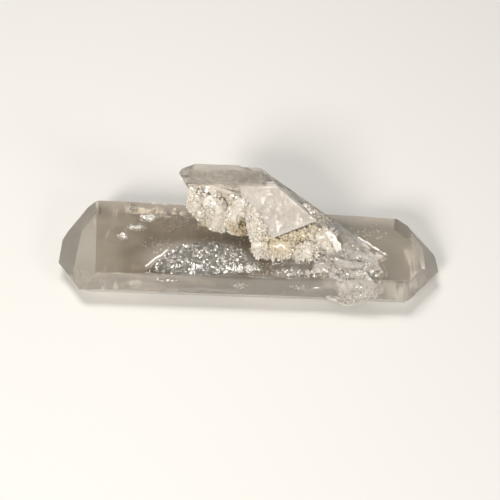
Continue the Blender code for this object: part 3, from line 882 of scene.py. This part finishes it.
def fracture():
    """The mirror-bright break that lies just under the top face, as a crumpled sheet in the shape of a leaf.

    Its points lie between a far and a near line, and their depth is drift of three sizes.
    """
    across, down = np.meshgrid(np.linspace(-31.6, -0.6, 92), np.linspace(0.0, 1.0, 44), indexing="ij")
    far, near = np.interp(across, *BREAK_FAR), np.interp(across, *BREAK_NEAR)
    y = near + (far - near) * down
    flat = np.stack([across, y, np.zeros_like(y)], axis=-1)
    flat[..., :2] += 0.5 * wander(flat, 2.1, 500)[..., :2]
    flat[..., 1] = np.maximum(flat[..., 1], NEAR_EDGE + 0.5)
    crumple = 0.30 * drift(flat, 0.75, 510) + 0.22 * drift(flat, 0.42, 511) + 0.30 * drift(flat, 4.0, 512)
    flat[..., 2] = THICKNESS - 0.75 + 0.8 * crumple + 0.006 * flat[..., 0]
    return mesh_piece("fracture", flat.reshape(-1, 3), sheet_faces(*across.shape), crease=4)


# The milky veils inside the clear crystals: each a middle, radii and a count of platelets.
VEILS = (
    ((-40.3, 0.4, 9.9), (1.8, 1.7, 0.4), 130),
    ((-36.2, 4.3, 9.9), (3.4, 1.4, 0.4), 200),
    ((-32.9, 8.6, 9.9), (3.4, 2.0, 0.4), 320),
    ((-38.8, 12.6, 9.8), (1.4, 2.2, 0.4), 70),
    ((-25.6, 4.4, 9.8), (2.2, 1.6, 0.4), 60),
    ((-22.0, 8.0, 8.6), (7.0, 4.4, 1.4), 70),
    ((-20.6, 14.2, 24.6), (1.8, 1.8, 1.8), 150),
    ((-29.0, -2.0, 8.8), (5.0, 4.0, 1.0), 50),
    ((-2.4, -15.0, 7.2), (2.6, 0.5, 1.5), 26),
    ((15.6, -15.0, 7.0), (3.6, 0.5, 0.9), 22),
    ((-24.4, -15.2, 8.4), (4.4, 0.5, 0.8), 12),
    ((38.0, 6.0, 8.0), (6.0, 4.0, 1.6), 30),
    ((0.0, -10.0, 9.4), (14.0, 3.0, 0.5), 160),
    ((3.0, 2.0, 7.0), (20.0, 6.0, 2.2), 120),
)


def veils():
    """Milky veils: flat six-sided platelets, each with a low point, strewn in blobs below the surface."""
    parts = []
    for number, (centre, radii, count) in enumerate(VEILS):
        random = np.random.default_rng(600 + number)
        ways = unit(random.normal(size=(count, 3))) * np.asarray(radii)
        places = np.asarray(centre) + ways * random.uniform(0, 1, (count, 1)) ** 0.5
        directions = np.array((0.1, -0.25, 1.0)) + 0.55 * random.normal(size=(count, 3))
        widths = random.uniform(0.25, 1.0, count)
        parts.append(small_crystals(places, directions, 0.12 * widths, widths, 620 + number))
    return mesh_piece("veils", *gathered(parts))


def node_of(tree, kind, **values):
    """A new shader node with some of its settings or inputs set by name."""
    node = tree.nodes.new(kind)
    for key, value in values.items():
        if key in node.inputs:
            node.inputs[key].default_value = value
        else:
            setattr(node, key, value)
    return node


def new_material(name):
    """A material with an empty tree but for its Principled shader and output."""
    material = bpy.data.materials.new(name)
    material.use_nodes = True
    return material, material.node_tree, material.node_tree.nodes["Principled BSDF"]


def patches(tree, scale, detail, low, high, stretch=(1, 1, 1)):
    """Noise on Object coordinates, spread from 0 to 1 between the low and high values."""
    coordinates = node_of(tree, "ShaderNodeTexCoord")
    mapping = node_of(tree, "ShaderNodeMapping", Scale=stretch)
    noise = node_of(tree, "ShaderNodeTexNoise", Scale=scale, Detail=detail)
    ramp = node_of(tree, "ShaderNodeMapRange", **{"From Min": low, "From Max": high})
    tree.links.new(coordinates.outputs["Object"], mapping.inputs["Vector"])
    tree.links.new(mapping.outputs["Vector"], noise.inputs["Vector"])
    tree.links.new(noise.outputs["Fac"], ramp.inputs["Value"])
    return ramp.outputs["Result"]


def value_between(tree, factor, first, second):
    """The first value where factor is 0 and the second where it is 1."""
    ramp = node_of(tree, "ShaderNodeMapRange", **{"To Min": first, "To Max": second})
    tree.links.new(factor, ramp.inputs["Value"])
    return ramp.outputs["Result"]


def attribute_of(tree, name):
    """One of the piece's own values, stored at its points."""
    return node_of(tree, "ShaderNodeAttribute", attribute_name=name).outputs["Fac"]


def mixed(tree, factor, first, second):
    """The first colour, plain or linked, where factor is 0 and the second where it is 1."""
    mix = node_of(tree, "ShaderNodeMix", data_type="RGBA")
    mix.inputs["B"].default_value = (*second, 1)
    tree.links.new(factor, mix.inputs["Factor"])
    if isinstance(first, tuple):
        mix.inputs["A"].default_value = (*first, 1)
    else:
        tree.links.new(first, mix.inputs["A"])
    return mix.outputs["Result"]


def chip_and_highlight_line_of(tree):
    """The edges whitened for chips and a painted highlight, narrowed to a fine line."""
    power = node_of(tree, "ShaderNodeMath", operation="POWER")
    power.inputs[1].default_value = EDGE_POWER
    tree.links.new(attribute_of(tree, "edge_chip_and_highlight"), power.inputs[0])
    return power.outputs["Value"]


def bump_of(tree, height, strength):
    """The surface's normal, bent by a height."""
    bump = node_of(tree, "ShaderNodeBump", Strength=strength, Distance=BUMP_DEPTH)
    tree.links.new(height, bump.inputs["Height"])
    return bump.outputs["Normal"]


def quartz_surface(tree, shader, colour, gloss, clarity):
    """Sets the shader's colour, its gloss (a noise, with the least and most roughness) and its clarity."""
    tree.links.new(colour, shader.inputs["Base Color"])
    tree.links.new(value_between(tree, *gloss), shader.inputs["Roughness"])
    shader.inputs["Transmission Weight"].default_value = clarity
    shader.inputs["IOR"].default_value = QUARTZ_IOR


def clear_quartz():
    """Clear, faintly smoky quartz with painted shade under its top: see-through, milky patches, fine lines
    across the long axis.
    """
    material, tree, shader = new_material("clear_quartz")
    clean = mixed(tree, patches(tree, 55, 4, 0.42, 0.68), (0.86, 0.82, 0.75), (0.95, 0.91, 0.84))
    # Painted shade: the clean colour darkened to a deep brown where the piece's painted shade lies.
    with_painted_shade = mixed(tree, attribute_of(tree, "smoke_and_painted_shade"), clean, (0.42, 0.36, 0.28))
    # The edges whitened: chips, and a painted highlight.
    colour = mixed(tree, chip_and_highlight_line_of(tree), with_painted_shade, EDGE_CHIP_AND_HIGHLIGHT_WHITE)
    quartz_surface(tree, shader, colour, (patches(tree, 160, 5, 0.45, 0.75), 0.03, 0.16), 0.84)
    lines = patches(tree, 420, 3, 0.3, 0.7, (1.0, 0.22, 0.22))
    tree.links.new(bump_of(tree, lines, 0.16), shader.inputs["Normal"])
    smoke_and_painted_shade = node_of(tree, "ShaderNodeVolumeAbsorption", Color=(0.50, 0.42, 0.31, 1), Density=14.0)
    tree.links.new(smoke_and_painted_shade.outputs["Volume"], tree.nodes["Material Output"].inputs["Volume"])
    return material


def frosted_quartz():
    """The frosted block: clear quartz clouded to a soft milky white, warmer in patches."""
    material, tree, shader = new_material("frosted_quartz")
    pale = mixed(tree, patches(tree, 120, 4, 0.38, 0.64), (0.75, 0.71, 0.66), (0.65, 0.60, 0.54))
    # The edges whitened: chips, and a painted highlight.
    colour = mixed(tree, chip_and_highlight_line_of(tree), pale, EDGE_CHIP_AND_HIGHLIGHT_WHITE)
    quartz_surface(tree, shader, colour, (patches(tree, 300, 4, 0.4, 0.7), 0.18, 0.42), 0.5)
    grain = patches(tree, 900, 4, 0.3, 0.7)
    tree.links.new(bump_of(tree, grain, 0.2), shader.inputs["Normal"])
    return material


def milky_quartz():
    """The small crystals: half clear and half milk white, warmer and stained honey brown in places."""
    material, tree, shader = new_material("milky_quartz")
    cream = mixed(tree, patches(tree, 260, 4, 0.35, 0.65), (0.87, 0.83, 0.76), (0.76, 0.69, 0.59))
    honey = mixed(tree, attribute_of(tree, "stain"), cream, (0.70, 0.59, 0.40))
    quartz_surface(tree, shader, honey, (patches(tree, 700, 3, 0.4, 0.7), 0.12, 0.38), 0.4)
    return material


def chipped_quartz():
    """Crushed clear quartz: see-through, whitened by its cracks."""
    material, tree, shader = new_material("chipped_quartz")
    white = mixed(tree, patches(tree, 380, 5, 0.35, 0.65), (0.97, 0.94, 0.89), (0.84, 0.79, 0.71))
    quartz_surface(tree, shader, white, (patches(tree, 900, 3, 0.4, 0.7), 0.04, 0.22), 0.66)
    return material


def mirror_break():
    """The break inside the crystal: thin air that mirrors like silver, with painted glints and painted dark
    reflections as flecks in its colour.
    """
    material, tree, shader = new_material("mirror_break")
    # Painted glints and painted dark reflections, as bright and dark flecks in the colour.
    painted_glints_and_darks = mixed(tree, patches(tree, 1000, 3, 0.47, 0.55), (0.03, 0.03, 0.03), (1.0, 1.0, 0.99))
    tree.links.new(painted_glints_and_darks, shader.inputs["Base Color"])
    shader.inputs["Metallic"].default_value = 0.9
    gloss = value_between(tree, patches(tree, 600, 2, 0.4, 0.6), 0.08, 0.3)
    tree.links.new(gloss, shader.inputs["Roughness"])
    return material


def veil_white():
    """The platelets of the veils and the white splinters: white, and a little clear."""
    material, tree, shader = new_material("veil_white")
    tint = mixed(tree, patches(tree, 300, 3, 0.4, 0.6), (0.96, 0.95, 0.92), (0.84, 0.82, 0.78))
    quartz_surface(tree, shader, tint, (patches(tree, 500, 2, 0.4, 0.6), 0.2, 0.45), 0.2)
    return material


def finish_piece(piece, material):
    """Gives a piece its material, body and slot."""
    piece.data.materials.clear()
    piece.data.materials.append(material)
    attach(piece, "root")
    return piece


def floor():
    """A plain pale surface to lie on."""
    size = 1200.0
    points = np.array([(-size, -size, 0), (size, -size, 0), (size, size, 0), (-size, size, 0)])
    mesh = bpy.data.meshes.new("floor")
    mesh.from_pydata(((points - (0, 0, 0.02)) * MM).tolist(), [], [(0, 1, 2, 3)])
    ground = bpy.data.objects.new("floor", mesh)
    bpy.context.scene.collection.objects.link(ground)
    material, _, shader = new_material("pale_floor")
    shader.inputs["Base Color"].default_value = (0.62, 0.61, 0.59, 1)
    shader.inputs["Roughness"].default_value = 0.6
    ground.data.materials.append(material)


def soft_light(name, place, aim, size, power, colour):
    """A square area light, placed, aimed and sized in millimetres, with its power in watts."""
    data = bpy.data.lights.new(name, "AREA")
    data.energy = power
    data.color = colour
    data.size = size * MM
    lamp = bpy.data.objects.new(name, data)
    lamp.location = Vector(place) * MM
    lamp.rotation_euler = (Vector(aim) - Vector(place)).to_track_quat("-Z", "Y").to_euler()
    bpy.context.scene.collection.objects.link(lamp)


def studio():
    """Soft warm light from the front left, weaker ones from the right and above, and a pale surround."""
    soft_light("front", (-330, -660, 420), (0, 0, 5), 260, 8.1, (1.0, 0.95, 0.88))
    soft_light("right", (620, -420, 300), (20, 0, 5), 200, 2.2, (1.0, 0.96, 0.90))
    soft_light("above", (-130, 300, 740), (0, 0, 0), 340, 4.6, (1.0, 0.97, 0.93))
    bpy.context.scene.view_settings.view_transform = "Standard"
    world = bpy.data.worlds.new("surround")
    world.use_nodes = True
    background = world.node_tree.nodes["Background"]
    background.inputs["Color"].default_value = (0.80, 0.82, 0.85, 1)
    background.inputs["Strength"].default_value = 0.26
    bpy.context.scene.world = world


def camera():
    """The photograph's view: from above the near side, aimed just above the long crystal's middle."""
    data = bpy.data.cameras.new("camera")
    data.lens = VIEW_LENS
    data.sensor_width = 36.0
    data.clip_start = 0.01
    turn, height = math.radians(VIEW_TURN), math.radians(VIEW_HEIGHT)
    back = Vector((math.sin(turn) * math.cos(height), -math.cos(turn) * math.cos(height), math.sin(height)))
    viewer = bpy.data.objects.new("camera", data)
    viewer.location = (Vector(VIEW_AIM) + VIEW_DISTANCE * back) * MM
    viewer.rotation_euler = (-back).to_track_quat("-Z", "Y").to_euler()
    bpy.context.scene.collection.objects.link(viewer)
    bpy.context.scene.camera = viewer


camera()
studio()
floor()
body = finish_piece(clear_crystals(), clear_quartz())
finish_piece(frosted_block(), frosted_quartz())
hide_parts(NODE)

milky, chipped, silver, white = milky_quartz(), chipped_quartz(), mirror_break(), veil_white()
carrier = crystal_piece("crust_mass", crust_faces(), MASS_STEP, MASS_STEP, crust_relief, 65)
root = crystal_piece("back_root", back_root_faces(), MASS_STEP, MASS_STEP, crust_relief, 66)
for piece in (stained(carrier), crust(), stub_crystal(), foot_crystals(), stained(root), back_crystals()):
    finish_piece(piece, milky)
for piece in (chipped_patch(), rubble(), ledges()):
    finish_piece(piece, chipped)
finish_piece(white_plate(), white)
finish_piece(fracture(), silver)
finish_piece(veils(), white)
